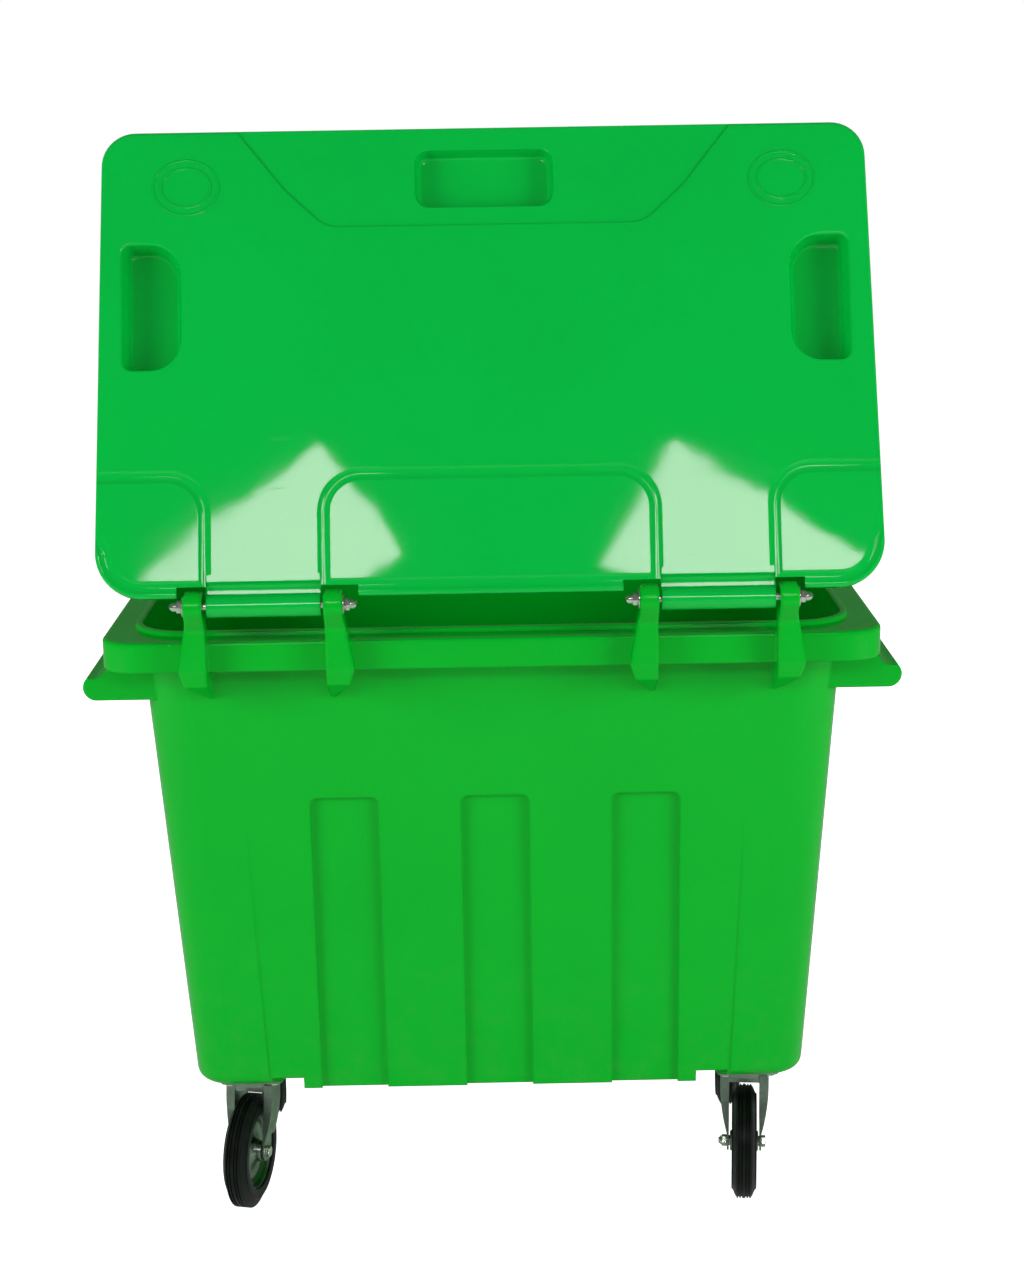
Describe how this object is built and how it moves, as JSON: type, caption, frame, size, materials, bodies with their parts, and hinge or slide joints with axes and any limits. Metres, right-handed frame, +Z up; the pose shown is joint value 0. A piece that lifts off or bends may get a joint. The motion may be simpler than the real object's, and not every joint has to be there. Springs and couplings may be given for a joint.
{
  "type": "four-wheeled wheelie bin",
  "caption": "Large wheeled waste container: tapered plastic tub with a rolled rim, hinged lid with hand grips, side lifting pins and swivel castors.",
  "frame": {"origin": "on the floor, below the centre of the bounding box as the bin stands with its lid open", "axes": "+Z up, +X to the right as seen from the hinge side, -Y towards the hinge side, so +Y is the side a person loads from"},
  "size_m": [1.37, 0.7949, 1.8695],
  "materials": {
    "tub_plastic": "moulded, semi gloss",
    "lid_plastic": "moulded, glossy",
    "plug_plastic": "moulded, fine texture",
    "seal_rubber": "smooth",
    "tyre_rubber": "solid rubber, satin",
    "bearing_steel": "polished",
    "insert_brass": "turned",
    "wheel_steel": "zinc plated, pressed",
    "fastener_zinc": "bright zinc plated",
    "castor_zinc": "zinc plated, pressed sheet"
  },
  "bodies": {
    "tub": {"tub": "tub_plastic", "hinge_pin_left": "fastener_zinc", "hinge_pin_right": "fastener_zinc", "hinge_washers": "fastener_zinc", "hinge_cap_nuts": "fastener_zinc", "castor_bolts": "fastener_zinc", "castor_inserts": "insert_brass", "castor_plate_rear_left": "castor_zinc", "castor_kingpin_rear_left": "fastener_zinc", "castor_plate_rear_right": "castor_zinc", "castor_kingpin_rear_right": "fastener_zinc", "castor_plate_front_left": "castor_zinc", "castor_kingpin_front_left": "fastener_zinc", "castor_plate_front_right": "castor_zinc", "castor_kingpin_front_right": "fastener_zinc"},
    "lid": {"lid": "lid_plastic"},
    "drain_plug": {"drain_plug": "plug_plastic", "drain_seal": "seal_rubber"},
    "castor_rear_left": {"castor_fork_rear_left": "castor_zinc", "castor_balls_rear_left": "bearing_steel", "castor_axle_rear_left": "fastener_zinc", "castor_axle_nut_rear_left": "fastener_zinc", "castor_sleeve_rear_left": "fastener_zinc"},
    "wheel_rear_left": {"castor_wheel_rear_left": "wheel_steel", "castor_tyre_rear_left": "tyre_rubber", "castor_bearing_rear_left": "bearing_steel"},
    "castor_rear_right": {"castor_fork_rear_right": "castor_zinc", "castor_balls_rear_right": "bearing_steel", "castor_axle_rear_right": "fastener_zinc", "castor_axle_nut_rear_right": "fastener_zinc", "castor_sleeve_rear_right": "fastener_zinc"},
    "wheel_rear_right": {"castor_wheel_rear_right": "wheel_steel", "castor_tyre_rear_right": "tyre_rubber", "castor_bearing_rear_right": "bearing_steel"},
    "castor_front_left": {"castor_fork_front_left": "castor_zinc", "castor_balls_front_left": "bearing_steel", "castor_axle_front_left": "fastener_zinc", "castor_axle_nut_front_left": "fastener_zinc", "castor_sleeve_front_left": "fastener_zinc", "brake_pin_front_left": "fastener_zinc"},
    "wheel_front_left": {"castor_wheel_front_left": "wheel_steel", "castor_tyre_front_left": "tyre_rubber", "castor_bearing_front_left": "bearing_steel"},
    "brake_front_left": {"brake_pedal_front_left": "castor_zinc"},
    "castor_front_right": {"castor_fork_front_right": "castor_zinc", "castor_balls_front_right": "bearing_steel", "castor_axle_front_right": "fastener_zinc", "castor_axle_nut_front_right": "fastener_zinc", "castor_sleeve_front_right": "fastener_zinc", "brake_pin_front_right": "fastener_zinc"},
    "wheel_front_right": {"castor_wheel_front_right": "wheel_steel", "castor_tyre_front_right": "tyre_rubber", "castor_bearing_front_right": "bearing_steel"},
    "brake_front_right": {"brake_pedal_front_right": "castor_zinc"}
  },
  "joints": [
    {"name": "lid_hinge", "type": "hinge", "parent": "tub", "child": "lid", "pos_m": [0, -0.3735, 1.139], "axis": [1, 0, 0], "range_deg": [-73.7, 169]},
    {"name": "drain_plug_turn", "type": "hinge", "parent": "tub", "child": "drain_plug", "pos_m": [0, 0.1385, 0.25], "axis": [0, 0, 1], "range_deg": [0, 90]},
    {"name": "castor_swivel_rear_left", "type": "hinge", "parent": "tub", "child": "castor_rear_left", "pos_m": [-0.437, -0.1145, 0.22], "axis": [0, 0, 1], "continuous": true},
    {"name": "wheel_roll_rear_left", "type": "hinge", "parent": "castor_rear_left", "child": "wheel_rear_left", "pos_m": [-0.44712, -0.15835, 0.1], "axis": [0.9744, -0.225, 0], "continuous": true},
    {"name": "castor_swivel_rear_right", "type": "hinge", "parent": "tub", "child": "castor_rear_right", "pos_m": [0.437, -0.1145, 0.22], "axis": [0, 0, 1], "continuous": true},
    {"name": "wheel_roll_rear_right", "type": "hinge", "parent": "castor_rear_right", "child": "wheel_rear_right", "pos_m": [0.4323, -0.15925, 0.1], "axis": [0.9945, -0.1045, 0], "continuous": true},
    {"name": "castor_swivel_front_left", "type": "hinge", "parent": "tub", "child": "castor_front_left", "pos_m": [-0.437, 0.1885, 0.22], "axis": [0, 0, 1], "continuous": true},
    {"name": "wheel_roll_front_left", "type": "hinge", "parent": "castor_front_left", "child": "wheel_front_left", "pos_m": [-0.44326, 0.23306, 0.1], "axis": [-0.9903, -0.1392, 0], "continuous": true},
    {"name": "brake_press_front_left", "type": "hinge", "parent": "castor_front_left", "child": "brake_front_left", "pos_m": [-0.44563, 0.2499, 0.211], "axis": [-0.9903, -0.1392, 0], "range_deg": [0, 18]},
    {"name": "castor_swivel_front_right", "type": "hinge", "parent": "tub", "child": "castor_front_right", "pos_m": [0.437, 0.1885, 0.22], "axis": [0, 0, 1], "continuous": true},
    {"name": "wheel_roll_front_right", "type": "hinge", "parent": "castor_front_right", "child": "wheel_front_right", "pos_m": [0.44326, 0.23306, 0.1], "axis": [-0.9903, 0.1392, 0], "continuous": true},
    {"name": "brake_press_front_right", "type": "hinge", "parent": "castor_front_right", "child": "brake_front_right", "pos_m": [0.44563, 0.2499, 0.211], "axis": [-0.9903, 0.1392, 0], "range_deg": [0, 18]}
  ]
}
